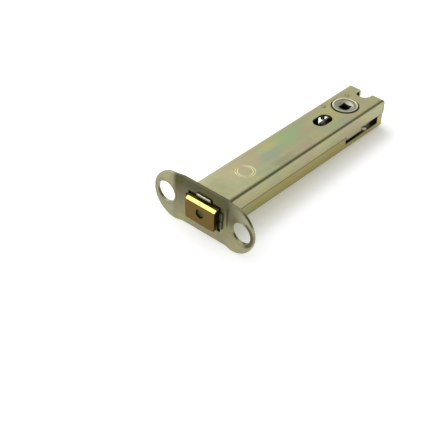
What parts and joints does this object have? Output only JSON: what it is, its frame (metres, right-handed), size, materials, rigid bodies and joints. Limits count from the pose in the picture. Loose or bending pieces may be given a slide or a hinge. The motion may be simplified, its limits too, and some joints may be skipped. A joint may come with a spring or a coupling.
{
  "type": "tubular deadbolt",
  "caption": "Heavy tubular mortice deadbolt: long rectangular two-shell case, joggled oval flange, bevelled brass bolt and a square-drive follower with bolt-through slots.",
  "frame": {"origin": "centre of the two flange holes, on the front face of the flange's ears", "axes": "+X into the door, the bolt is thrown towards -X; +Y along the flange; +Z along the follower's square hole. The part lies on its side, with the flange's length level."},
  "size_m": [0.1256, 0.0594, 0.025],
  "materials": {
    "zinc_plate": "yellow-green zinc passivate, satin",
    "brass": "drawn bar, slightly dulled",
    "steel": "plain, satin",
    "die_cast": "zinc die-casting, as cast, satin",
    "nylon": "moulded black nylon",
    "spring_steel": "spring wire, bright"
  },
  "bodies": {
    "case": {"flange": "zinc_plate", "upper_shell": "zinc_plate", "lower_shell": "zinc_plate", "guide_sleeve": "nylon", "follower_bush_upper": "nylon", "follower_bush_lower": "nylon", "case_pin_front": "steel", "case_pin_rear": "steel", "spring_post": "steel", "toggle_spring": "spring_steel"},
    "bolt": {"bolt_head": "brass", "bolt_insert": "steel", "bolt_tail": "steel", "head_rivet_front": "steel", "head_rivet_rear": "steel", "drive_stud": "steel"},
    "roller": {"drive_roller": "steel"},
    "follower": {"follower": "die_cast"}
  },
  "joints": [
    {"name": "bolt_slide", "type": "slide", "parent": "case", "child": "bolt", "axis": [-1, 0, 0], "range_m": [0, 0.0146]},
    {"name": "follower_turn", "type": "hinge", "parent": "case", "child": "follower", "pos_m": [0.1045, 0, 0], "axis": [0, 0, -1], "range_deg": [0, 90], "deforming": ["toggle_spring"]},
    {"name": "roller_spin", "type": "hinge", "parent": "bolt", "child": "roller", "pos_m": [0.1118, -0.0073, 0], "axis": [0, 0, 1], "continuous": true}
  ],
  "couplings": [
    {"joint": "follower_turn", "follows": "bolt_slide", "rad_per_m": 107.58}
  ]
}
